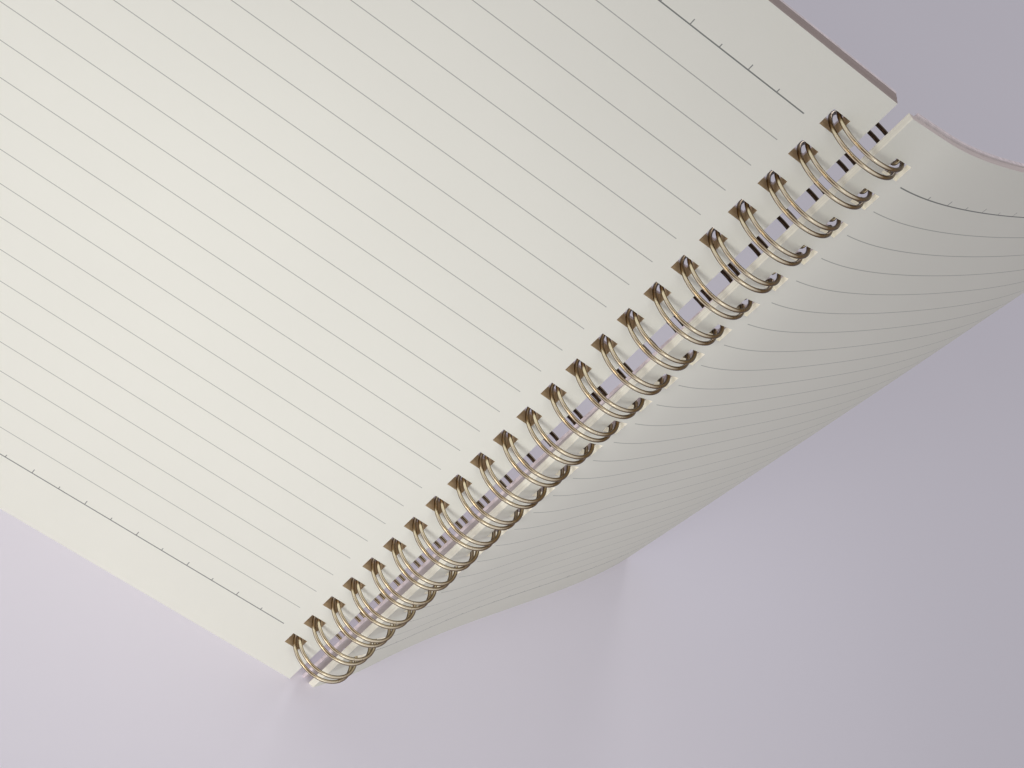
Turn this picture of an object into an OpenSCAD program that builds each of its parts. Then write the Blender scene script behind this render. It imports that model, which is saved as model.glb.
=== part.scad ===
// An open wire-bound ruled notebook, standing on its tail edges like a folding screen.
// The origin is on the axis of the wire rings, level with the tail edges. Z runs up the
// spine, the reader is on the -Y side and the leaves turned to the left lie along -X.

/* [Sheets] */
// width of a sheet, from its punched edge to its fore edge
page_w = 148; // [120:1:180]
// height of a sheet, along the spine
page_h = 208.5; // [150:0.5:260]
// thickness of the sheets turned to the left
left_t = 3.9; // [1.5:0.1:4.5]
// thickness of the sheets on the right
right_t = 1.5; // [1:0.1:2]
// thickness of each cover board
cover_t = 0.8; // [0.5:0.05:1]

/* [Holes] */
// side of a square hole
hole = 4; // [3.7:0.05:4.5]
// distance from the punched edge to the near side of a hole
hole_edge = 4; // [3.5:0.1:4.5]
// spacing of the holes along the spine
pitch = 8.467; // [8.2:0.001:9.5]
// least distance from a sheet's end to the middle of a hole
end_margin = 8; // [5:0.5:12]
// how far the row of holes stands off from the middle of the spine, toward the head
hole_shift = 0.95; // [-2:0.05:2]

/* [Wire] */
// thickness of the wire
wire_d = 0.9; // [0.7:0.05:1]
// radius of a ring, to the middle of the wire
ring_r = 8.1; // [7.8:0.1:9]
// distance between the two legs of a loop
leg_gap = 2.2; // [1.6:0.05:2.3]
// radius of the bends between a leg and the bar beside it
bend_r = 1; // [0.8:0.05:1.1]
// room left between the bars and the noses of the loops
nose_gap = 0.2; // [0.1:0.05:0.4]
// length of the wire's two cut ends beyond their bends
stub = 1.5; // [0.5:0.1:2.5]

/* [Left side] */
// how far the left page stands in front of the ring axis
left_rise = 2.5; // [2:0.1:3]

/* [Right side] */
// how far the punched strip of the right page stands in front of the ring axis
right_rise = 4; // [3.4:0.1:4.4]
// lean of the punched strip, away from the reader, halfway up the spine
lean_hole = 30; // [26:1:34]
// how far the strip and the seam of the wire are turned round the rings at each end
twist = 17; // [0:1:18]
// flat land of the strip beyond its holes
strip_land = 0.3; // [0.2:0.1:1]
// lean of the page beyond the strip
lean_main = 47.5; // [40:0.5:52]
// length over which the page bends from the one lean to the other
ease = 8; // [6:0.5:12]
// further lean of the page at its fore edge
curl = 9.5; // [0:0.5:14]
// difference in lean between the two ends of the page where it is most twisted
warp = 7; // [0:0.5:10]
// distance beyond the strip where the page is most twisted
warp_at = 17; // [12:1:25]
// how far the punched edge of the hindmost sheet stands out beyond that of the foremost
fan = 0.6; // [0:0.1:1]
// how far the right sheets are slid away from the spine in their holes, halfway up
slide = 0.1; // [-0.1:0.05:0.1]
// further slide of the right sheets at the head, and less at the tail
skew = -0.75; // [-0.75:0.05:0.75]
// the same for the back cover
board_skew = 1.15; // [-1.15:0.05:1.15]
// room on each side of the bars, between the sheets and the back cover
seam_clear = 0.3; // [0.25:0.05:0.5]
// length over which the gap behind the sheets closes beyond the bars
seam_ease = 12; // [8:1:20]
// gap between the sheets and the back cover beyond the bars
leaf_gap = 0.3; // [0.25:0.05:0.6]
// further gap between the sheets and the back cover at the fore edge
board_spread = 0.7; // [0:0.1:3]

/* [Colours] */
// colour of the sheets
sheet_colour = [0.9, 0.89, 0.85];
// colour of the cover boards
board_colour = [0.82, 0.78, 0.79];
// colour of the wire
wire_colour = [0.75, 0.62, 0.47];

/* [Hidden] */

// holes and loops
hole_n = floor((page_h - 2 * end_margin) / pitch) + 1;
hole_z0 = (page_h - (hole_n - 1) * pitch) / 2 + hole_shift;
hole_mid = hole_edge + hole / 2;
cut = 1;

// left side: the holes are centred on the ring halfway through sheets and cover
left_back = left_t - left_rise;
left_mid = (left_back + cover_t - left_rise) / 2;
left_edge = hole_mid - sqrt(ring_r * ring_r - left_mid * left_mid);

// right side: each level is laid out in a frame turned about the ring axis by the strip's lean
strip = hole_edge + hole + strip_land;
seam_room = wire_d + 2 * seam_clear;
board_rise = right_rise - right_t - seam_room;
right_edge = crossing(-right_rise, right_t - right_rise) - hole_mid;
slip = crossing(-board_rise, cover_t - board_rise) - hole_mid - right_edge;

// seam of the wire, in the same frame: the bars pass between the right sheets and the back cover
bar_r = norm([ring_r, bend_r]);
bar_at = asin((right_t + seam_room / 2 - right_rise) / bar_r);
leg_from = bar_at - atan(bend_r / ring_r);
nose_at = bar_at + 2 * asin((wire_d + nose_gap) / 2 / bar_r);
leg_to = nose_at + atan(leg_gap / 2 / ring_r);

// the joints along the wire are closed by balls a little wider than the wire
swell = 1.03;

// grid of the curved leaves
cols = 36;
rows = 10;
row_z = [for (j = [0:rows]) page_h * j / rows];

// distances from the foremost punched edge where the sheets' and the board's faces bend
sheets_s = concat([0], [for (i = [0:cols]) strip + (page_w - strip) * pow(i / cols, 1.5)]);
fanned_s = [for (i = [0:cols + 1]) i == 0 ? -fan : sheets_s[i]];
board_s = [for (s = sheets_s) slip + s * (1 - slip / page_w)];

// depths of those faces behind the right page
sheets_back = [for (s = sheets_s) right_t];
board_front = [
    for (s = board_s)
        right_t + leaf_gap + (seam_room - leaf_gap) * exp(-max(0, s - strip) / seam_ease)
            + board_spread * pow(s / page_w, 2)
];
board_back = [for (d = board_front) d + cover_t];

// middle of the wire's way through a leaf that lies between two levels of the ring
function crossing(y0, y1) =
    let (far = max(abs(y0), abs(y1)), near = min(abs(y0), abs(y1)))
    (sqrt(pow(ring_r - wire_d / 2, 2) - far * far)
        + sqrt(pow(ring_r + wire_d / 2, 2) - near * near)) / 2;

function turned(p, a) = [p[0] * cos(a) - p[1] * sin(a), p[0] * sin(a) + p[1] * cos(a)];

// position along the spine, -1 at the tail and 1 at the head
function level(z) = 2 * z / page_h - 1;

function hole_z(i) = hole_z0 + i * pitch;

function strip_lean(v) = lean_hole - twist * v;

// lean of the right page at distance s from its punched edge
function lean(s, v) =
    let (t = max(0, s - strip))
    lean_main - (lean_main - strip_lean(v)) * exp(-t / ease) + curl * pow(max(0, s) / page_w, 4)
        - warp * v * t / warp_at * exp(1 - t / warp_at);

function step(a, b, v) =
    let (mid = lean((a + b) / 2, v))
    (b - a) * [cos(mid), sin(mid)];

// points of the right page's face at one level, at the distances s
function face_line(v, s) = [
    for (i = 0, p = turned([right_edge + s[0], -right_rise], strip_lean(v));
         i < len(s);
         p = i < len(s) - 1 ? p + step(s[i], s[i + 1], v) : p, i = i + 1) p
];

// the same line moved back, square to the face, by the depths d
function deep_line(v, s, d) =
    let (f = face_line(v, s))
    [for (i = [0:len(f) - 1]) f[i] + turned([0, d[i]], lean(s[i], v))];

// distances from the punched edge, slid along the page
function slid(s, off) = [for (x = s) x + off];

// a curved leaf between a front and a back skin, as one closed skin, slid in its holes
module leaf(front_s, front_d, back_s, back_d, off, turn) {
    m = len(front_s);
    ring = 2 * m;
    points = [
        for (z = row_z)
            let (
                v = level(z),
                f = deep_line(v, slid(front_s, off + turn * v), front_d),
                b = deep_line(v, slid(back_s, off + turn * v), back_d)
            )
            for (i = [0:ring - 1])
                i < m ? [f[i][0], f[i][1], z] : [b[ring - 1 - i][0], b[ring - 1 - i][1], z]
    ];
    sides = [
        for (j = [0:rows - 1], i = [0:ring - 1])
            let (a = j * ring + i, b = j * ring + (i + 1) % ring)
            each [[a, a + ring, b + ring], [a, b + ring, b]]
    ];
    tail = [for (i = [0:m - 2]) [i, i + 1, ring - 2 - i, ring - 1 - i]];
    head = [
        for (i = [0:m - 2])
            let (o = rows * ring)
            [o + ring - 1 - i, o + ring - 2 - i, o + i + 1, o + i]
    ];
    polyhedron(points = points, faces = concat(sides, tail, head));
}

// square cutters in the turned frames of the right strip, between two depths
module right_cutters(from, to, off, turn) {
    for (i = [0:hole_n - 1])
        let (v = level(hole_z(i)), near = right_edge + hole_edge + off + turn * v)
        rotate([0, 0, strip_lean(v)])
            translate([near, from - right_rise, hole_z(i) - hole / 2])
                cube([hole, to - from, hole]);
}

// flat leaf on the left with its square holes, between two levels of Y
module flat_leaf(y0, y1) {
    difference() {
        translate([left_edge - page_w, y0, 0])
            cube([page_w, y1 - y0, page_h]);
        for (i = [0:hole_n - 1])
            translate([left_edge - hole_edge - hole, y0 - cut, hole_z(i) - hole / 2])
                cube([hole, y1 - y0 + 2 * cut, hole]);
    }
}

// length of round wire bent about the local Z axis, its middle line at radius r
module bent(r, from, sweep) {
    rotate([0, 0, from])
        rotate_extrude(angle = sweep, $fn = 96)
            translate([r, 0])
                circle(d = wire_d, $fn = 24);
}

// place on the ring at angle a and level z, with local Z pointing outward and local Y along the ring
module on_ring(a, z) {
    rotate([0, 0, a])
        translate([ring_r, 0, z])
            rotate([0, 90, 0])
                children();
}

// end of a bend at the seam, above or below the middle of loop i
function bar_end(i, side) =
    concat(
        turned([ring_r, bend_r], leg_from + strip_lean(level(hole_z(i)))),
        hole_z(i) + side * (leg_gap / 2 + bend_r)
    );

// ball that closes a joint between two lengths of wire
module knuckle() {
    sphere(d = wire_d * swell, $fn = 24);
}

// straight length of wire from one point up to another
module bar(p, q) {
    d = q - p;
    translate(p)
        rotate([0, acos(d[2] / norm(d)), atan2(d[1], d[0])])
            cylinder(d = wire_d, h = norm(d), $fn = 24);
}

// one loop: two legs, the nose that joins them and a bend at the foot of each leg
module loop() {
    for (side = [-1, 1])
        translate([0, 0, side * leg_gap / 2]) {
            bent(ring_r, leg_to, 360 + leg_from - leg_to);
            for (a = [leg_to, leg_from])
                on_ring(a, 0)
                    knuckle();
        }
    on_ring(leg_to, 0)
        bent(leg_gap / 2, 180, 180, $fn = 48);
    on_ring(leg_from, leg_gap / 2 + bend_r)
        bent(bend_r, 0, 90);
    on_ring(leg_from, -leg_gap / 2 - bend_r)
        bent(bend_r, 90, 90);
}

module wire_binding() {
    last = hole_n - 1;
    color(wire_colour) {
        for (i = [0:last]) {
            translate([0, 0, hole_z(i)])
                rotate([0, 0, strip_lean(level(hole_z(i)))])
                    loop();
            for (side = [-1, 1])
                translate(bar_end(i, side))
                    knuckle();
        }
        for (i = [0:last - 1])
            bar(bar_end(i, 1), bar_end(i + 1, -1));
        bar(bar_end(0, -1) - [0, 0, stub], bar_end(0, -1));
        bar(bar_end(last, 1), bar_end(last, 1) + [0, 0, stub]);
    }
}

module left_pages() {
    color(sheet_colour)
        flat_leaf(-left_rise, left_back);
}

module front_cover() {
    color(board_colour)
        flat_leaf(left_back, left_back + cover_t);
}

module right_pages() {
    color(sheet_colour)
        difference() {
            leaf(sheets_s, 0 * sheets_back, fanned_s, sheets_back, slide, skew);
            right_cutters(-cut, right_t + cut, slide, skew);
        }
}

module back_cover() {
    color(board_colour)
        difference() {
            leaf(board_s, board_front, board_s, board_back, 0, board_skew);
            right_cutters(board_front[0] - cut, board_back[0] + cut, slip, board_skew);
        }
}

wire_binding();
left_pages();
right_pages();
front_cover();
back_cover();
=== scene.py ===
import math
import random

import bmesh
import bpy
from bpy.props import FloatProperty, FloatVectorProperty, IntProperty, PointerProperty
from bpy.types import Operator, Panel, PropertyGroup
from mathutils import Matrix, Vector


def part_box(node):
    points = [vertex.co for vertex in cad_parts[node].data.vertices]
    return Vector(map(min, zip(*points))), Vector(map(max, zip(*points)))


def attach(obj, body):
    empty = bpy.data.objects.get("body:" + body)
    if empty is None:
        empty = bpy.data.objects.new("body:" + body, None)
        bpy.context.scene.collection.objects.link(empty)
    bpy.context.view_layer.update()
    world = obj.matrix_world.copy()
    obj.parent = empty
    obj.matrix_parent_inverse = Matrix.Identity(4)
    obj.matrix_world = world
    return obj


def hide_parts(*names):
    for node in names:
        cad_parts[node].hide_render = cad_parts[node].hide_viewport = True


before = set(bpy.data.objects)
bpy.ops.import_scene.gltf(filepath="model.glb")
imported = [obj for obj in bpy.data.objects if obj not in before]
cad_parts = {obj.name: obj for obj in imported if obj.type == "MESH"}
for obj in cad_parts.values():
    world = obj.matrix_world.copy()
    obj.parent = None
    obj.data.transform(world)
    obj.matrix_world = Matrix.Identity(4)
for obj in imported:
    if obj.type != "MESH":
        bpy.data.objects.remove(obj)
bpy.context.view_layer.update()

bl_info = {
    "name": "Open wire-bound notebook",
    "version": (1, 0, 0),
    "blender": (4, 5, 0),
    "location": "View3D > Sidebar > Notebook",
    "description": "Ruled sheets, board covers and a twin-loop wire around a fixed frame",
    "category": "Add Mesh",
}

MM = 0.001
LEFT_LOW, LEFT_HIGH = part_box("left_pages")
BOARD_LOW, BOARD_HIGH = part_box("front_cover")
WIRE_LOW, WIRE_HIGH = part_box("wire_binding")
WIRE_D = 0.9 * MM

# Slots of the leaves' materials: page faces, cut edges, punched edge and hole walls
FACE, CUT, PUNCHED, WALL = range(4)

# Sides of the wire, and steps round its bends, rings and noses
WIRE_SIDES, BEND_STEPS, RING_STEPS, NOSE_STEPS = 12, 5, 60, 9

# Painted glow (emission strength) that stands in for light through the paper round the holes, and
# for light from the sheets onto the boards
LEFT_GLOW, RIGHT_GLOW, BOARD_GLOW, BOARD_CUT_GLOW = 0.03, 0.30, 0.15, 0.05

# Name, place, target, spread in degrees and power in watts of each spot lamp
LAMPS = (
    ("key_lamp", (-0.36, -0.50, 0.20), (-0.08, 0.0, 0.075), 40, 9.0),
    ("fill_lamp", (0.25, -0.50, 0.35), (0.02, 0.0, 0.03), 34, 2.9),
    ("back_lamp", (0.15, 0.85, 0.45), (0.0, 0.03, 0.13), 44, 4.0),
)
LAMP_RADIUS = 0.12
WORLD_LIGHT = (0.47, 0.47, 0.48, 1.0)
FLOOR_SIDE = 12

CAMERA_AT = (-0.1240, -0.2937, 0.3069)
CAMERA_FORWARD = (0.2932, 0.7916, -0.5361)
CAMERA_RIGHT = (0.7917, 0.1133, 0.6003)
CAMERA_PIXELS = 1748
PHOTO_WIDTH = 1024
SENSOR_MM = 36


def length(name, description, default):
    """A size in metres, as a property."""
    return FloatProperty(
        name=name, description=description, default=default, min=0, precision=5,
        subtype="DISTANCE", unit="LENGTH",
    )


def offset(name, description, default):
    """A size in metres that may be less than nothing, as a property."""
    return FloatProperty(
        name=name, description=description, default=default, precision=5,
        subtype="DISTANCE", unit="LENGTH",
    )


def degrees(name, description, default):
    """An angle in degrees, as a property."""
    return FloatProperty(name=name, description=description, default=default)


def colour(name, description, default):
    """A colour as it looks on a screen, as a property."""
    return FloatVectorProperty(
        name=name, description=description, default=default, size=3, min=0, max=1,
        subtype="COLOR_GAMMA",
    )


class NotebookSizes(PropertyGroup):
    """Sizes of the sheets, covers and wire."""

    page_w: length("Page width", "From the punched edge to the fore edge",
                   LEFT_HIGH[0] - LEFT_LOW[0])
    page_h: length("Page height", "Along the spine", LEFT_HIGH[2])
    left_t: length("Left thickness", "Sheets turned to the left", LEFT_HIGH[1] - LEFT_LOW[1])
    right_t: length("Right thickness", "Sheets on the right", 1.5 * MM)
    cover_t: length("Cover thickness", "Each board", BOARD_HIGH[1] - BOARD_LOW[1])
    sheet_t: length("Sheet thickness", "One sheet, for the look of the edges", 0.1 * MM)
    ragged: length("Ragged edge", "How far single sheets stand back in a block", 0.09 * MM)
    hole: length("Hole side", "Side of a square hole", 4 * MM)
    hole_edge: length("Hole margin", "From the punched edge to a hole", 4 * MM)
    hole_z0: length("First hole", "Middle of the lowest hole above the tail", 12.063 * MM)
    pitch: length("Hole spacing", "Along the spine", 8.467 * MM)
    hole_n: IntProperty(name="Holes", description="Number of holes", default=23, min=1)
    wire_d: length("Wire thickness", "Diameter of the wire", WIRE_D)
    ring_r: length("Ring radius", "To the middle of the wire", -WIRE_LOW[0] - WIRE_D / 2)
    leg_gap: length("Leg gap", "Between the two legs of a loop", 2.2 * MM)
    bend_r: length("Bend radius", "Between a leg and the bar beside it", 1 * MM)
    nose_gap: length("Nose gap", "Between the bars and the noses", 0.2 * MM)
    stub: length("Cut ends", "Wire beyond the last bends", 1.5 * MM)
    right_rise: length("Right rise", "Right strip in front of the ring axis", 4 * MM)
    lean_hole: degrees("Strip lean", "Lean of the punched strip halfway up", 30)
    twist: degrees("Twist", "Turn of the strip and the wire's seam at each end", 17)
    strip_land: length("Strip land", "Flat strip beyond the holes", 0.3 * MM)
    lean_main: degrees("Page lean", "Lean of the page beyond the strip", 47.5)
    ease: length("Bend length", "Over which the page takes its lean", 8 * MM)
    curl: degrees("Curl", "Further lean at the fore edge", 9.5)
    warp: degrees("Warp", "Difference in lean between head and tail", 7)
    warp_at: length("Warp place", "Beyond the strip, where the warp is largest", 17 * MM)
    fan: length("Fan", "Hindmost punched edge beyond the foremost", 0.6 * MM)
    slide: offset("Slide", "Right sheets slid away from the spine in their holes", 0.1 * MM)
    skew: offset("Skew", "Further slide of the right sheets at the head", -0.75 * MM)
    board_skew: offset("Board skew", "Slide of the back cover at the head", 1.15 * MM)
    seam_clear: length("Seam room", "On each side of the bars", 0.3 * MM)
    seam_ease: length("Seam length", "Over which the gap behind the sheets closes", 12 * MM)
    leaf_gap: length("Leaf gap", "Between the sheets and the back cover", 0.3 * MM)
    board_spread: length("Board spread", "Further gap at the fore edge", 0.7 * MM)
    board_free: length("Board play", "Between the left sheets and the front cover", 0.02 * MM)


class NotebookRuling(PropertyGroup):
    """Sizes of the printed lines."""

    left_foot: length("Left foot line", "Above the tail edge", 15.2 * MM)
    right_foot: length("Right foot line", "Above the tail edge", 14.9 * MM)
    spacing: length("Line spacing", "Between two lines", 7.232 * MM)
    count: IntProperty(name="Spaces", description="Spaces from foot to head line", default=25)
    left_start: length("Left line start", "From the punched edge to the lines", 11.5 * MM)
    right_start: length("Right line start", "From the punched edge to the lines", 9.85 * MM)
    thin: length("Thin line", "Half the width of a writing line", 0.075 * MM)
    bold: length("Bold line", "Half the width of the head and foot lines", 0.12 * MM)
    tick_start: length("First tick", "From the punched edge", 18.25 * MM)
    tick_step: length("Tick spacing", "Along the head and foot lines", 6.95 * MM)
    tick_short: length("Short tick", "Height above the line", 0.85 * MM)
    tick_long: length("Long tick", "Height above the line", 1.35 * MM)


class NotebookColours(PropertyGroup):
    """Colours of the finishes, with painted shade and painted light on the cut edges, the left
    hole walls and the wire.
    """

    paper: colour("Paper", "Face of a sheet", (0.885, 0.880, 0.835))
    # Left cut edges darkened to brown-grey: painted shade on the head edge, which faces away from
    # the light
    left_cut_painted_shade: colour("Left cut edge", "Head, tail and fore edges on the left", (0.66, 0.60, 0.585))
    # Right cut edges greyed and tinted pink: painted shade and a painted pink tint of reflected
    # light
    right_cut_painted_tint: colour("Right cut edge", "Head, tail and fore edges on the right",
                      (0.84, 0.785, 0.775))
    punched: colour("Punched edge", "Edge of the block along the spine", (0.94, 0.915, 0.855))
    # Tan-brown in place of cream cut paper: painted shade inside the left holes
    left_hole_painted_shade: colour("Left hole wall", "Cut paper inside the left holes", (0.76, 0.67, 0.54))
    right_hole: colour("Right hole wall", "Cut paper inside the right holes", (0.90, 0.88, 0.82))
    line: colour("Line", "Printed ruling", (0.42, 0.43, 0.42))
    board: colour("Board", "Face of a cover", (0.82, 0.78, 0.79))
    board_cut: colour("Board edge", "Cut edge of a cover", (0.88, 0.83, 0.845))
    # Wire colours set by facing: painted highlight (brightest), painted dark reflection (middle)
    # and painted shade (rim)
    wire: colour("Wire", "Champagne gold plating at its brightest", (1.0, 0.955, 0.83))
    wire_painted_dark_middle: colour("Wire middle", "The plating seen square on", (0.51, 0.41, 0.26))
    wire_painted_rim_shade: colour("Wire rim", "The plating where it turns away", (0.27, 0.20, 0.11))
    # Painted shade: the rings' inner side behind the sheets, where the pages shade it
    wire_inner: colour("Inner side", "The plating inside the rings, at the back",
                       (0.17, 0.11, 0.09))
    floor: colour("Floor", "Pale floor under the notebook", (0.935, 0.915, 0.955))
    backdrop: colour("Backdrop", "Behind the floor", (0.74, 0.73, 0.76))


def sizes():
    return bpy.context.scene.notebook_sizes


def ruling():
    return bpy.context.scene.notebook_ruling


def linear(rgb):
    """A screen colour as the linear one that shaders take."""
    return [c / 12.92 if c <= 0.04045 else ((c + 0.055) / 1.055) ** 2.4 for c in rgb] + [1.0]


# Node helpers


def node(tree, kind, inputs=None, **settings):
    """Adds a node, sets its settings and sets or links its inputs."""
    new = tree.nodes.new(kind)
    for key, value in settings.items():
        setattr(new, key, value)
    for key, value in (inputs or {}).items():
        if isinstance(value, bpy.types.NodeSocket):
            tree.links.new(value, new.inputs[key])
        else:
            new.inputs[key].default_value = value
    return new


def maths(tree, operation, *values):
    """Adds a maths node and returns its value."""
    return node(tree, "ShaderNodeMath", dict(enumerate(values)), operation=operation).outputs[0]


def step_down(tree, value, low, high):
    """Returns 1 below low and 0 above high, with a soft step between them."""
    ramp = node(
        tree, "ShaderNodeMapRange",
        {"Value": value, "From Min": low, "From Max": high, "To Min": 1.0, "To Max": 0.0},
        interpolation_type="SMOOTHSTEP",
    )
    return ramp.outputs["Result"]


def step_up(tree, value, low, high):
    """Returns 0 below low and 1 above high, with a soft step between them."""
    return maths(tree, "SUBTRACT", 1.0, step_down(tree, value, low, high))


def page_place(tree):
    """The piece's own UVs, in metres."""
    return node(tree, "ShaderNodeUVMap", uv_map="UVMap").outputs[0]


def object_place(tree):
    """Object coordinates, in metres."""
    return node(tree, "ShaderNodeTexCoord").outputs["Object"]


def mixed(tree, factor, first, second):
    """Mixes two colours and returns the result."""
    mix = node(tree, "ShaderNodeMix", data_type="RGBA")
    for index, value in ((0, factor), (6, first), (7, second)):
        if isinstance(value, bpy.types.NodeSocket):
            tree.links.new(value, mix.inputs[index])
        else:
            mix.inputs[index].default_value = value
    return mix.outputs[2]


def group_tree(name, inputs, outputs):
    """Starts a node group with named float inputs and named outputs."""
    tree = bpy.data.node_groups.new(name, "ShaderNodeTree")
    for label, default in inputs.items():
        socket = tree.interface.new_socket(
            name=label, in_out="INPUT", socket_type="NodeSocketFloat"
        )
        socket.default_value = default
    for label, kind in outputs.items():
        tree.interface.new_socket(name=label, in_out="OUTPUT", socket_type=kind)
    return tree, node(tree, "NodeGroupInput"), node(tree, "NodeGroupOutput")


def ruling_group():
    """Writing lines, bold head and foot lines and their ticks, as masks over the page."""
    name = "page ruling"
    if name in bpy.data.node_groups:
        return bpy.data.node_groups[name]
    r = ruling()
    tree, given, result = group_tree(
        name, {"Foot": r.left_foot, "Start": r.left_start},
        {"Line": "NodeSocketFloat", "Bold": "NodeSocketFloat"},
    )
    soft = 0.05 * MM
    place = node(tree, "ShaderNodeSeparateXYZ", {0: page_place(tree)})
    across, up = place.outputs[0], place.outputs[1]
    above = maths(tree, "SUBTRACT", up, given.outputs["Foot"])
    index = maths(tree, "ROUND", maths(tree, "DIVIDE", above, r.spacing))
    index = maths(tree, "MINIMUM", maths(tree, "MAXIMUM", index, 0.0), float(r.count))
    beside = maths(tree, "SUBTRACT", above, maths(tree, "MULTIPLY", index, r.spacing))
    half_count = r.count / 2
    from_middle = maths(tree, "ABSOLUTE", maths(tree, "SUBTRACT", index, half_count))
    bold = maths(tree, "GREATER_THAN", from_middle, half_count - 0.5)
    half = maths(tree, "MULTIPLY_ADD", bold, r.bold - r.thin, r.thin)
    line = step_down(tree, maths(tree, "ABSOLUTE", beside), half, maths(tree, "ADD", half, soft))
    begun = maths(tree, "GREATER_THAN", across, given.outputs["Start"])
    from_first = maths(tree, "SUBTRACT", across, r.tick_start)
    tick_index = maths(tree, "ROUND", maths(tree, "DIVIDE", from_first, r.tick_step))
    tick_index = maths(tree, "MAXIMUM", tick_index, 0.0)
    tick_at = maths(tree, "MULTIPLY_ADD", tick_index, r.tick_step, r.tick_start)
    tick_off = maths(tree, "ABSOLUTE", maths(tree, "SUBTRACT", across, tick_at))
    odd = maths(tree, "MODULO", tick_index, 2.0)
    tick_top = maths(tree, "MULTIPLY_ADD", odd, r.tick_long - r.tick_short, r.tick_short)
    tick = maths(tree, "MULTIPLY", step_down(tree, tick_off, r.thin, r.thin + soft),
                 maths(tree, "LESS_THAN", beside, tick_top))
    tick = maths(tree, "MULTIPLY", tick, maths(tree, "GREATER_THAN", beside, 0.0))
    tick = maths(tree, "MULTIPLY", tick, bold)
    printed = maths(tree, "MULTIPLY", maths(tree, "MAXIMUM", line, tick), begun)
    tree.links.new(printed, result.inputs["Line"])
    tree.links.new(bold, result.inputs["Bold"])
    return tree


def fibre_group():
    """Fine fibre relief and faint clouding, on object coordinates."""
    name = "fibre"
    if name in bpy.data.node_groups:
        return bpy.data.node_groups[name]
    tree, given, result = group_tree(
        name, {"Scale": 900.0, "Height": 0.00002, "Cloud Scale": 30.0},
        {"Normal": "NodeSocketVector", "Fibre": "NodeSocketFloat", "Cloud": "NodeSocketFloat"},
    )
    where = object_place(tree)
    fine = node(
        tree, "ShaderNodeTexNoise",
        {"Vector": where, "Scale": given.outputs["Scale"], "Detail": 4.0, "Roughness": 0.6},
    )
    cloud = node(
        tree, "ShaderNodeTexNoise",
        {"Vector": where, "Scale": given.outputs["Cloud Scale"], "Detail": 3.0},
    )
    relief = node(
        tree, "ShaderNodeBump",
        {"Height": fine.outputs[0], "Distance": given.outputs["Height"], "Strength": 1.0},
    )
    tree.links.new(relief.outputs[0], result.inputs["Normal"])
    tree.links.new(fine.outputs[0], result.inputs["Fibre"])
    tree.links.new(cloud.outputs[0], result.inputs["Cloud"])
    return tree


def new_material(name, roughness, **constants):
    """A material with one shader, and the names that build on it."""
    material = bpy.data.materials.new(name)
    material.use_nodes = True
    tree = material.node_tree
    shader = tree.nodes["Principled BSDF"]
    shader.inputs["Roughness"].default_value = roughness
    for key, value in constants.items():
        shader.inputs[key.replace("_", " ")].default_value = value
    return material, tree, shader


def placed(tree, group, **values):
    """Places a node group in a material with its own values."""
    inputs = {key.replace("_", " "): value for key, value in values.items()}
    return node(tree, "ShaderNodeGroup", inputs, node_tree=group)


def shade(rgb, factor):
    """A screen colour made lighter or darker."""
    return [min(1.0, c * factor) for c in rgb]


def varied(tree, factor, rgb, spread):
    """A colour that runs from darker to lighter as the factor goes from 0 to 1."""
    return mixed(tree, factor, linear(shade(rgb, 1 - spread)), linear(shade(rgb, 1 + spread)))


def ruled_paper(name, foot, start):
    """Cream writing paper with its printed ruling."""
    c = bpy.context.scene.notebook_colours
    material, tree, shader = new_material(name, 0.72, Specular_IOR_Level=0.3)
    fibre = placed(tree, fibre_group(), Scale=900.0, Height=0.00003, Cloud_Scale=22.0)
    paper = varied(tree, fibre.outputs["Cloud"], c.paper, 0.015)
    lines = placed(tree, ruling_group(), Foot=foot, Start=start)
    ink = maths(tree, "MULTIPLY", lines.outputs["Line"],
                maths(tree, "MULTIPLY_ADD", lines.outputs["Bold"], 0.3, 0.6))
    tree.links.new(mixed(tree, ink, paper, linear(c.line)), shader.inputs["Base Color"])
    tree.links.new(fibre.outputs["Normal"], shader.inputs["Normal"])
    return material


def stacked_edge(name, rgb, contrast, glow=0.0):
    """Edges of many sheets, streaked along each sheet, with a painted glow (emission) that stands
    in for light through the paper.
    """
    material, tree, shader = new_material(name, 0.85, Specular_IOR_Level=0.2)
    stretch = node(
        tree, "ShaderNodeMapping", {"Vector": page_place(tree), "Scale": (60.0, 6000.0, 1.0)}
    )
    streak = node(
        tree, "ShaderNodeTexNoise", {"Vector": stretch.outputs[0], "Scale": 1.0, "Detail": 3.0}
    )
    tone = varied(tree, streak.outputs[0], rgb, contrast)
    relief = node(
        tree, "ShaderNodeBump",
        {"Height": streak.outputs[0], "Distance": 0.1 * MM, "Strength": 0.6},
    )
    tree.links.new(tone, shader.inputs["Base Color"])
    # emission in the edge's own colour: painted glow standing in for light through the paper
    tree.links.new(tone, shader.inputs["Emission Color"])
    shader.inputs["Emission Strength"].default_value = glow
    tree.links.new(relief.outputs[0], shader.inputs["Normal"])
    return material


def board(name, rgb, contrast, glow):
    """Grey pressed board with darker and lighter fibres, and a painted glow (emission) that stands
    in for the sheets' light falling on it.
    """
    material, tree, shader = new_material(name, 0.8, Specular_IOR_Level=0.25)
    fibre = placed(tree, fibre_group(), Scale=700.0, Height=0.00002, Cloud_Scale=45.0)
    speck = node(
        tree, "ShaderNodeMapRange",
        {"Value": fibre.outputs["Fibre"], "From Min": 0.35, "From Max": 0.65},
    )
    tone = varied(tree, speck.outputs[0], rgb, contrast)
    cloud = maths(tree, "MULTIPLY", fibre.outputs["Cloud"], 0.25)
    tone = mixed(tree, cloud, tone, linear(shade(rgb, 0.9)))
    tree.links.new(tone, shader.inputs["Base Color"])
    # emission in the board's own colour: painted glow lightening the shaded gap behind the sheets
    tree.links.new(tone, shader.inputs["Emission Color"])
    shader.inputs["Emission Strength"].default_value = glow
    tree.links.new(fibre.outputs["Normal"], shader.inputs["Normal"])
    return material


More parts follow.
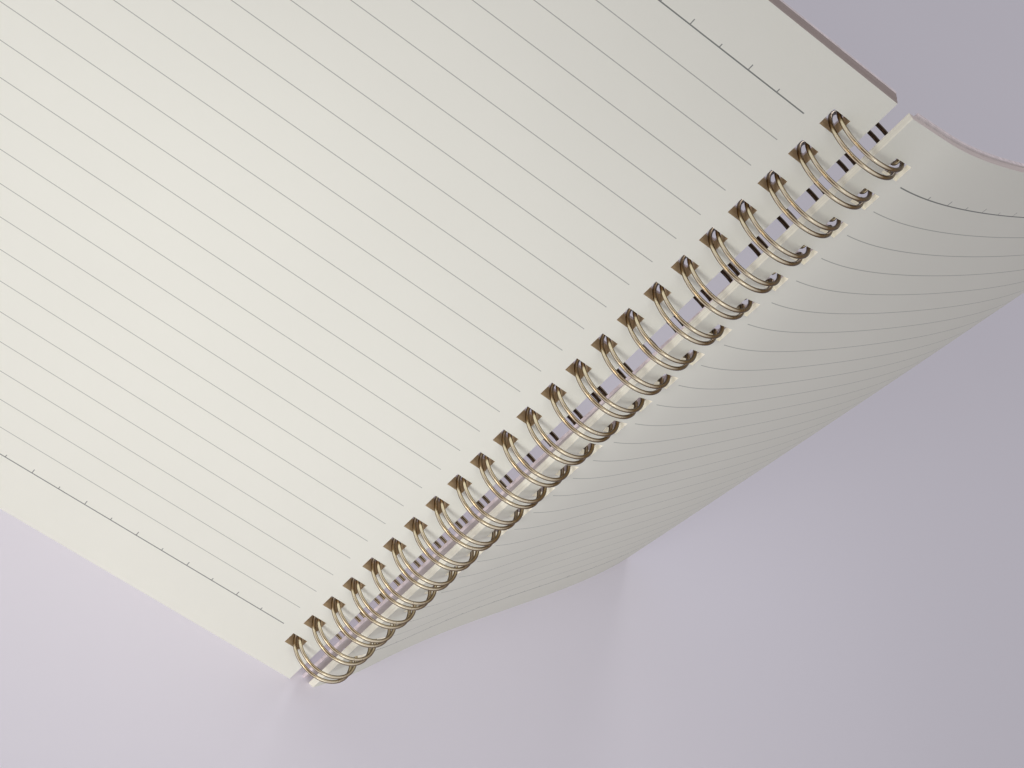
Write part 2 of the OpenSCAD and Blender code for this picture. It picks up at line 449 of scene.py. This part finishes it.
def painted_ring_shade_mask(tree):
    """A mask of painted shade on the wire's inner side behind the sheets, growing from the tail
    upward.
    """
    across, deep, up = node(tree, "ShaderNodeSeparateXYZ", {0: object_place(tree)}).outputs
    across_sq = maths(tree, "MULTIPLY", across, across)
    radius = maths(tree, "SQRT", maths(tree, "MULTIPLY_ADD", deep, deep, across_sq))
    middle = sizes().ring_r
    inner = step_down(tree, radius, middle - 0.3 * MM, middle + 0.15 * MM)
    back = step_up(tree, deep, -1.0 * MM, 3.0 * MM)
    raised = step_up(tree, up, 20 * MM, 100 * MM)
    strength = maths(tree, "MULTIPLY_ADD", raised, 0.7, 0.25)
    return maths(tree, "MULTIPLY", maths(tree, "MULTIPLY", inner, back), strength)


def gold_wire():
    """Satin champagne-gold plating, with painted highlight, painted reflection and painted rim
    shade in bands across the round wire, set by how far it turns from the camera.
    """
    c = bpy.context.scene.notebook_colours
    material, tree, shader = new_material("champagne wire", 0.3, Metallic=1.0)
    fibre = placed(tree, fibre_group(), Scale=1500.0, Height=0.000006, Cloud_Scale=160.0)
    # facing ramp: painted highlight and painted reflection bands across each wire
    away = node(tree, "ShaderNodeLayerWeight", {"Blend": 0.5}).outputs["Facing"]
    ramp = node(tree, "ShaderNodeValToRGB", {0: away})
    bands = ramp.color_ramp.elements
    bands[0].position, bands[0].color = 0.02, linear(c.wire_painted_dark_middle)
    bands[1].position, bands[1].color = 0.75, linear(c.wire_painted_rim_shade)
    for position, rgb in ((0.11, c.wire), (0.24, c.wire), (0.42, c.wire_painted_dark_middle)):
        band = bands.new(position)
        band.color = linear(rgb)
    # painted shade mixed over the bands on the inner side of the rings behind the sheets
    tone = mixed(tree, painted_ring_shade_mask(tree), ramp.outputs[0], linear(c.wire_inner))
    rough = maths(tree, "MULTIPLY_ADD", fibre.outputs["Fibre"], 0.14, 0.22)
    tree.links.new(tone, shader.inputs["Base Color"])
    tree.links.new(rough, shader.inputs["Roughness"])
    tree.links.new(fibre.outputs["Normal"], shader.inputs["Normal"])
    return material


# Shape of the leaves


def hole_levels():
    """Levels of the lower and upper sides of the holes, with the two ends of the page."""
    s = sizes()
    levels = [0.0]
    for i in range(s.hole_n):
        middle = s.hole_z0 + i * s.pitch
        levels += [middle - s.hole / 2, middle + s.hole / 2]
    return levels + [s.page_h]


def level_of(z):
    """Place along the spine, from -1 at the tail to 1 at the head."""
    return 2 * z / sizes().page_h - 1


def strip_lean(level):
    """Lean of the punched strip, and turn of the wire's seam, in degrees."""
    s = sizes()
    return s.lean_hole - s.twist * level


def lean(along, level):
    """Lean of the right page in degrees."""
    s = sizes()
    beyond = max(0.0, along - strip_end())
    angle = s.lean_main - (s.lean_main - strip_lean(level)) * math.exp(-beyond / s.ease)
    angle += s.curl * (max(0.0, along) / s.page_w) ** 4
    return angle - s.warp * level * beyond / s.warp_at * math.exp(1 - beyond / s.warp_at)


def strip_end():
    s = sizes()
    return s.hole_edge + s.hole + s.strip_land


def crossing(y0, y1):
    """Middle of the wire's way through a leaf between two levels of the ring."""
    s = sizes()
    far, near = max(abs(y0), abs(y1)), min(abs(y0), abs(y1))
    inner = math.sqrt((s.ring_r - s.wire_d / 2) ** 2 - far ** 2)
    outer = math.sqrt((s.ring_r + s.wire_d / 2) ** 2 - near ** 2)
    return (inner + outer) / 2


def right_edge():
    """Foremost punched edge of the right sheets, in the strip's own turned frame."""
    s = sizes()
    return crossing(-s.right_rise, s.right_t - s.right_rise) - s.hole_edge - s.hole / 2


def board_slip():
    """How far the back cover's punched edge stands back from that of the sheets."""
    s = sizes()
    rise = s.right_rise - s.right_t - s.wire_d - 2 * s.seam_clear
    return crossing(-rise, s.cover_t - rise) - s.hole_edge - s.hole / 2 - right_edge()


def turned(x, y, angle):
    """A point in the plane, turned about the ring axis."""
    c, n = math.cos(math.radians(angle)), math.sin(math.radians(angle))
    return Vector((x * c - y * n, x * n + y * c))


def curved_line(stations, level, steps=8):
    """Points of the right page's face at the stations, and the leans there."""
    point = turned(right_edge() + stations[0], -sizes().right_rise, strip_lean(level))
    points, leans = [point.copy()], [lean(stations[0], level)]
    for a, b in zip(stations, stations[1:]):
        part = (b - a) / steps
        for k in range(steps):
            point = point + turned(part, 0, lean(a + (k + 0.5) * part, level))
        points.append(point.copy())
        leans.append(lean(b, level))
    return points, leans


def board_depth(along):
    """Depth of the back cover's inner face behind the right page's face."""
    s = sizes()
    room = s.wire_d + 2 * s.seam_clear
    fade = math.exp(-max(0.0, along - strip_end()) / s.seam_ease)
    spread = s.board_spread * (along / s.page_w) ** 2
    return s.right_t + s.leaf_gap + (room - s.leaf_gap) * fade + spread


def select_faces(mesh, test):
    """In edit mode, selects just the faces that pass a test on their middle and normal."""
    shape = bmesh.from_edit_mesh(mesh)
    for part in (shape.verts, shape.edges, shape.faces):
        for element in part:
            element.select_set(False)
    for face in shape.faces:
        if test(face.calc_center_median(), face.normal):
            face.select_set(True)
    bmesh.update_edit_mesh(mesh)


def in_hole(point):
    """Whether a point of the flat leaf lies in or on one of the holes."""
    s = sizes()
    slack = 0.02 * MM
    if not s.hole_edge - slack < point.x < s.hole_edge + s.hole + slack:
        return False
    nearest = round((point.z - s.hole_z0) / s.pitch)
    off = abs(point.z - s.hole_z0 - nearest * s.pitch)
    return 0 <= nearest < s.hole_n and off < s.hole / 2 + slack


def flat_leaf(name, stations, thickness):
    """A flat upright leaf with its square holes: X across, Y deep, Z up the spine."""
    levels = hole_levels()
    bpy.ops.object.select_all(action="DESELECT")
    bpy.ops.mesh.primitive_grid_add(
        x_subdivisions=len(stations) - 1, y_subdivisions=len(levels) - 1, size=1,
        rotation=(math.pi / 2, 0, 0),
    )
    leaf = bpy.context.object
    leaf.name = leaf.data.name = name
    bpy.ops.object.transform_apply(location=True, rotation=True, scale=True)
    for i, vertex in enumerate(leaf.data.vertices):
        vertex.co = (stations[i % len(stations)], 0, levels[i // len(stations)])
    bpy.ops.object.mode_set(mode="EDIT")
    select_faces(leaf.data, lambda middle, normal: in_hole(middle))
    bpy.ops.mesh.delete(type="FACE")
    bpy.ops.mesh.select_all(action="SELECT")
    bpy.ops.mesh.extrude_region_move(TRANSFORM_OT_translate={"value": (0, thickness, 0)})
    bpy.ops.mesh.select_all(action="SELECT")
    bpy.ops.mesh.normals_make_consistent(inside=False)
    bpy.ops.object.mode_set(mode="OBJECT")
    return leaf


def part_sheets(leaf, thickness, seed):
    """Cuts the edge walls into single sheets that stand back by small chance amounts."""
    s = sizes()
    count = round(thickness / s.sheet_t)
    bpy.ops.object.mode_set(mode="EDIT")
    for i in range(1, count):
        bpy.ops.mesh.select_all(action="SELECT")
        bpy.ops.mesh.bisect(plane_co=(0, thickness * i / count, 0), plane_no=(0, 1, 0))
    bpy.ops.object.mode_set(mode="OBJECT")
    chance = random.Random(seed)
    back = [chance.uniform(0, s.ragged) for _ in range(count + 1)]
    for vertex in leaf.data.vertices:
        inset = back[round(vertex.co.y / thickness * count)]
        if in_hole(vertex.co):
            continue
        if vertex.co.x < s.hole_edge / 2:
            vertex.co.x += inset
        elif vertex.co.x > s.page_w - s.hole_edge:
            vertex.co.x -= inset
        if vertex.co.z > s.page_h - MM:
            vertex.co.z -= inset


def map_leaf(leaf):
    """Gives each face its real-size UVs and its material."""
    s = sizes()
    shape = bmesh.new()
    shape.from_mesh(leaf.data)
    layer = shape.loops.layers.uv.verify()
    for face in shape.faces:
        n, middle = face.normal, face.calc_center_median()
        if abs(n.y) > 0.7:
            face.material_index = FACE
        elif in_hole(middle):
            face.material_index = WALL
        else:
            face.material_index = PUNCHED if middle.x < s.hole_edge / 2 else CUT
        for loop in face.loops:
            at = loop.vert.co
            if face.material_index == FACE:
                loop[layer].uv = (at.x, at.z)
            else:
                loop[layer].uv = (at.z if abs(n.x) > abs(n.z) else at.x, at.y)
    shape.to_mesh(leaf.data)
    shape.free()


def finish_piece(piece, body, node_name, materials, angle=30):
    """Materials, smooth shading and the frame's words for a piece."""
    for material in materials:
        piece.data.materials.append(material)
    bpy.ops.object.select_all(action="DESELECT")
    piece.select_set(True)
    bpy.context.view_layer.objects.active = piece
    bpy.ops.object.shade_smooth_by_angle(angle=math.radians(angle))
    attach(piece, body)
    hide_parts(node_name)


def lay_flat(leaf, face_y):
    """Places a flat leaf on the left, its front face at the given level of Y."""
    for vertex in leaf.data.vertices:
        x, y, z = vertex.co
        vertex.co = (LEFT_HIGH[0] - x, face_y + y, z)
    leaf.data.flip_normals()


def fanned(x, y, level):
    """Place of a point of the right sheets: distance along the page, and depth."""
    s = sizes()
    off = s.slide + s.skew * level
    return (x - s.fan * y / s.right_t if x < s.hole_edge / 2 else x) + off, y


def slipped(x, y, level):
    """Place of a point of the back cover: distance along the page, and depth."""
    s = sizes()
    along = board_slip() + x * (1 - board_slip() / s.page_w)
    return along + s.board_skew * level, board_depth(along) + y


def lay_curved(leaf, place):
    """Bends a flat leaf into the right page's curve, its points set along and behind the page."""
    rows = {}
    for vertex in leaf.data.vertices:
        rows.setdefault(round(vertex.co.z, 7), []).append(vertex)
    for z, row in rows.items():
        level = level_of(z)
        spots = [place(v.co.x, v.co.y, level) for v in row]
        stations = sorted({round(along, 7) for along, depth in spots})
        points, leans = curved_line(stations, level, 4)
        line = dict(zip(stations, zip(points, leans)))
        for vertex, (along, depth) in zip(row, spots):
            point, angle = line[round(along, 7)]
            out = turned(0, depth, angle)
            vertex.co.x, vertex.co.y = point.x + out.x, point.y + out.y


def flat_stations(count=16):
    """Distances from the punched edge at which a flat leaf is divided."""
    s = sizes()
    end = strip_end()
    return [0.0, s.hole_edge, s.hole_edge + s.hole] + [
        end + (s.page_w - end) * i / count for i in range(1, count + 1)
    ]


def curved_stations(count=44, crowding=1.6):
    """The same for a curved leaf, closer together near the spine."""
    s = sizes()
    end = strip_end()
    return [0.0, s.hole_edge, s.hole_edge + s.hole, end] + [
        end + (s.page_w - end) * (i / count) ** crowding for i in range(1, count + 1)
    ]


def block_materials(name, foot, start, cut, hole, glow):
    """Materials of a block of sheets, in the order of their slots."""
    punched = bpy.context.scene.notebook_colours.punched
    return [
        ruled_paper("ruled paper " + name, foot, start),
        stacked_edge("sheet edges " + name, cut, 0.10),
        stacked_edge("punched edge " + name, punched, 0.08),
        stacked_edge("hole walls " + name, hole, 0.10, glow),
    ]


class NOTEBOOK_OT_left_leaves(Operator):
    """Builds the flat block of ruled sheets turned to the left"""

    bl_idname = "notebook.left_leaves"
    bl_label = "Left leaves"

    def execute(self, context):
        s = sizes()
        leaf = flat_leaf("ruled_leaves_left", flat_stations(), s.left_t)
        part_sheets(leaf, s.left_t, seed=11)
        map_leaf(leaf)
        lay_flat(leaf, LEFT_LOW[1])
        r, c = ruling(), context.scene.notebook_colours
        materials = block_materials(
            "left", r.left_foot, r.left_start, c.left_cut_painted_shade, c.left_hole_painted_shade, LEFT_GLOW
        )
        finish_piece(leaf, "left_block", "left_pages", materials)
        return {"FINISHED"}


class NOTEBOOK_OT_right_leaves(Operator):
    """Builds the curved block of ruled sheets on the right"""

    bl_idname = "notebook.right_leaves"
    bl_label = "Right leaves"

    def execute(self, context):
        s = sizes()
        leaf = flat_leaf("ruled_leaves_right", curved_stations(), s.right_t)
        part_sheets(leaf, s.right_t, seed=12)
        map_leaf(leaf)
        lay_curved(leaf, fanned)
        r, c = ruling(), context.scene.notebook_colours
        materials = block_materials(
            "right", r.right_foot, r.right_start, c.right_cut_painted_tint, c.right_hole, RIGHT_GLOW
        )
        finish_piece(leaf, "right_block", "right_pages", materials)
        return {"FINISHED"}


class NOTEBOOK_OT_covers(Operator):
    """Builds the two grey boards behind the sheets"""

    bl_idname = "notebook.covers"
    bl_label = "Covers"

    def execute(self, context):
        s = sizes()
        c = context.scene.notebook_colours
        face = board("grey board", c.board, 0.03, BOARD_GLOW)
        cut = board("grey board edge", c.board_cut, 0.07, BOARD_CUT_GLOW)
        for name, body, node_name, stations, free in (
            ("board_front", "front_board", "front_cover", flat_stations(), s.board_free),
            ("board_back", "back_board", "back_cover", curved_stations(), 0),
        ):
            leaf = flat_leaf(name, stations, s.cover_t - free)
            map_leaf(leaf)
            if node_name == "front_cover":
                lay_flat(leaf, BOARD_LOW[1] + free)
            else:
                lay_curved(leaf, slipped)
            finish_piece(leaf, body, node_name, [face, cut, cut, cut])
        return {"FINISHED"}


def sweep(centre, axis, angle, steps):
    """Spins the selected end of the wire on, by a right-handed angle in degrees."""
    bpy.ops.mesh.spin(steps=steps, angle=-math.radians(angle), center=centre, axis=axis)


def coil_angles():
    """Where the legs leave the bars and meet the noses, in degrees from the strip's lean."""
    s = sizes()
    bar_r = math.hypot(s.ring_r, s.bend_r)
    room = s.wire_d + 2 * s.seam_clear
    bar_at = math.degrees(math.asin((s.right_t + room / 2 - s.right_rise) / bar_r))
    nose_at = bar_at + 2 * math.degrees(math.asin((s.wire_d + s.nose_gap) / 2 / bar_r))
    leg_from = bar_at - math.degrees(math.atan(s.bend_r / s.ring_r))
    leg_to = nose_at + math.degrees(math.atan(s.leg_gap / 2 / s.ring_r))
    return leg_from, leg_to


def on_ring(angle, level):
    """A point on the ring, and the outward direction there."""
    out = turned(1, 0, angle).to_3d()
    return out * sizes().ring_r + Vector((0, 0, level)), out


class NOTEBOOK_OT_wire(Operator):
    """Builds the twin-loop wire as one continuous tube"""

    bl_idname = "notebook.wire"
    bl_label = "Wire"

    def execute(self, context):
        s = sizes()
        leg_from, leg_to = coil_angles()
        reach = s.leg_gap / 2 + s.bend_r
        top = s.hole_z0 + (s.hole_n - 1) * s.pitch
        turn = 360 + leg_from - leg_to
        upper, out_from = on_ring(leg_from, top + reach)
        lower, _ = on_ring(leg_from, top - reach)
        nose, out_to = on_ring(leg_to, top)
        along = Vector((-out_from.y, out_from.x, 0))
        bpy.ops.object.select_all(action="DESELECT")
        bpy.ops.mesh.primitive_circle_add(
            vertices=WIRE_SIDES, radius=s.wire_d / 2, location=upper + along * s.bend_r,
            rotation=(0, 0, math.radians(leg_from)),
        )
        wire = context.object
        wire.name = wire.data.name = "twin_loop_wire"
        bpy.ops.object.transform_apply(location=True, rotation=True, scale=True)
        bpy.ops.object.mode_set(mode="EDIT")
        bpy.ops.mesh.select_all(action="SELECT")
        sweep(upper, out_from, -90, BEND_STEPS)
        sweep((0, 0, 0), (0, 0, 1), -turn, RING_STEPS)
        sweep(nose, out_to, 180, NOSE_STEPS)
        sweep((0, 0, 0), (0, 0, 1), turn, RING_STEPS)
        sweep(lower, out_from, -90, BEND_STEPS)
        bpy.ops.mesh.extrude_region_move(
            TRANSFORM_OT_translate={"value": (0, 0, 2 * reach - s.pitch)}
        )
        bpy.ops.object.mode_set(mode="OBJECT")
        repeat = wire.modifiers.new("loops", "ARRAY")
        repeat.count = s.hole_n
        repeat.use_relative_offset = False
        repeat.use_constant_offset = True
        repeat.constant_offset_displace = (0, 0, -s.pitch)
        repeat.use_merge_vertices = True
        repeat.merge_threshold = 0.01 * MM
        bpy.ops.object.modifier_apply(modifier=repeat.name)
        self.close_ends(wire, top + reach, s.hole_z0 - reach)
        for vertex in wire.data.vertices:
            x, y, z = vertex.co
            vertex.co = turned(x, y, strip_lean(level_of(z))).to_3d() + Vector((0, 0, z))
        finish_piece(wire, "binding", "wire_binding", [gold_wire()], angle=60)
        return {"FINISHED"}

    def close_ends(self, wire, upper_end, lower_end):
        """Cuts the two ends to their stubs and closes them."""
        s = sizes()
        near = 0.02 * MM
        bpy.ops.object.mode_set(mode="EDIT")
        shape = bmesh.from_edit_mesh(wire.data)
        for edge in [e for e in shape.edges if len(e.link_faces) == 1]:
            for vertex in edge.verts:
                if vertex.co.z > upper_end - near:
                    vertex.co.z = upper_end + s.stub
                else:
                    vertex.co.z = lower_end - s.stub
        bmesh.update_edit_mesh(wire.data)
        bpy.ops.mesh.select_all(action="DESELECT")
        bpy.ops.mesh.select_mode(type="VERT")
        bpy.ops.mesh.select_non_manifold()
        bpy.ops.mesh.fill_holes(sides=0)
        bpy.ops.mesh.select_all(action="SELECT")
        bpy.ops.mesh.normals_make_consistent(inside=False)
        bpy.ops.object.mode_set(mode="OBJECT")


class NOTEBOOK_OT_stage(Operator):
    """Builds the floor, the lamps and the camera"""

    bl_idname = "notebook.stage"
    bl_label = "Stage"

    def execute(self, context):
        self.floor(context)
        self.world(context)
        for lamp in LAMPS:
            self.spot(*lamp)
        self.camera(context)
        return {"FINISHED"}

    def floor(self, context):
        c = context.scene.notebook_colours
        bpy.ops.object.select_all(action="DESELECT")
        bpy.ops.mesh.primitive_plane_add(size=FLOOR_SIDE)
        floor = context.object
        floor.name = floor.data.name = "floor"
        material, tree, shader = new_material("pale floor", 0.9, Specular_IOR_Level=0.1)
        cloud = node(
            tree, "ShaderNodeTexNoise",
            {"Vector": object_place(tree), "Scale": 3.0, "Detail": 2.0},
        )
        tree.links.new(varied(tree, cloud.outputs[0], c.floor, 0.015), shader.inputs["Base Color"])
        floor.data.materials.append(material)

    def world(self, context):
        c = context.scene.notebook_colours
        world = bpy.data.worlds.new("studio")
        context.scene.world = world
        world.use_nodes = True
        tree = world.node_tree
        path = node(tree, "ShaderNodeLightPath")
        seen = maths(tree, "MAXIMUM", path.outputs["Is Camera Ray"], path.outputs["Is Glossy Ray"])
        seen = maths(tree, "MAXIMUM", seen, path.outputs["Is Transmission Ray"])
        light = mixed(tree, seen, WORLD_LIGHT, linear(c.backdrop))
        tree.links.new(light, tree.nodes["Background"].inputs["Color"])
        tree.nodes["Background"].inputs["Strength"].default_value = 1.0

    def spot(self, name, place, target, spread, power):
        """Adds a soft spot lamp that fades toward its rim."""
        bpy.ops.object.light_add(type="SPOT", location=place)
        lamp = bpy.context.object
        lamp.name = name
        lamp.data.energy = power
        lamp.data.shadow_soft_size = LAMP_RADIUS
        lamp.data.spot_size = math.radians(spread)
        lamp.data.spot_blend = 1.0
        aim = Vector(target) - Vector(place)
        lamp.rotation_euler = aim.to_track_quat("-Z", "Y").to_euler()

    def camera(self, context):
        forward = Vector(CAMERA_FORWARD).normalized()
        right = Vector(CAMERA_RIGHT)
        right = (right - forward * right.dot(forward)).normalized()
        up = right.cross(forward)
        bpy.ops.object.camera_add(location=CAMERA_AT)
        camera = context.object
        camera.name = "camera"
        camera.data.sensor_width = SENSOR_MM
        camera.data.lens = CAMERA_PIXELS / PHOTO_WIDTH * SENSOR_MM
        camera.data.clip_start = 0.01
        camera.data.clip_end = 20
        axes = Matrix((right, up, -forward)).transposed()
        camera.rotation_euler = axes.to_euler()
        context.scene.camera = camera


PIECE_OPERATORS = (
    NOTEBOOK_OT_stage,
    NOTEBOOK_OT_left_leaves,
    NOTEBOOK_OT_right_leaves,
    NOTEBOOK_OT_covers,
    NOTEBOOK_OT_wire,
)


class NOTEBOOK_PT_panel(Panel):
    """Lists the notebook's pieces, sizes and colours"""

    bl_idname = "NOTEBOOK_PT_panel"
    bl_label = "Notebook"
    bl_space_type = "VIEW_3D"
    bl_region_type = "UI"
    bl_category = "Notebook"

    def draw(self, context):
        layout = self.layout
        for operator in PIECE_OPERATORS:
            layout.operator(operator.bl_idname)
        for group in (context.scene.notebook_sizes, context.scene.notebook_ruling,
                      context.scene.notebook_colours):
            box = layout.box()
            for key in group.__annotations__:
                box.prop(group, key)


CLASSES = (NotebookSizes, NotebookRuling, NotebookColours, *PIECE_OPERATORS, NOTEBOOK_PT_panel)


def register():
    for cls in CLASSES:
        bpy.utils.register_class(cls)
    bpy.types.Scene.notebook_sizes = PointerProperty(type=NotebookSizes)
    bpy.types.Scene.notebook_ruling = PointerProperty(type=NotebookRuling)
    bpy.types.Scene.notebook_colours = PointerProperty(type=NotebookColours)


def unregister():
    del bpy.types.Scene.notebook_colours
    del bpy.types.Scene.notebook_ruling
    del bpy.types.Scene.notebook_sizes
    for cls in reversed(CLASSES):
        bpy.utils.unregister_class(cls)


def main():
    register()
    bpy.context.scene.view_settings.view_transform = "Standard"
    bpy.ops.notebook.stage()
    bpy.ops.notebook.left_leaves()
    bpy.ops.notebook.right_leaves()
    bpy.ops.notebook.covers()
    bpy.ops.notebook.wire()


if __name__ == "__main__":
    main()
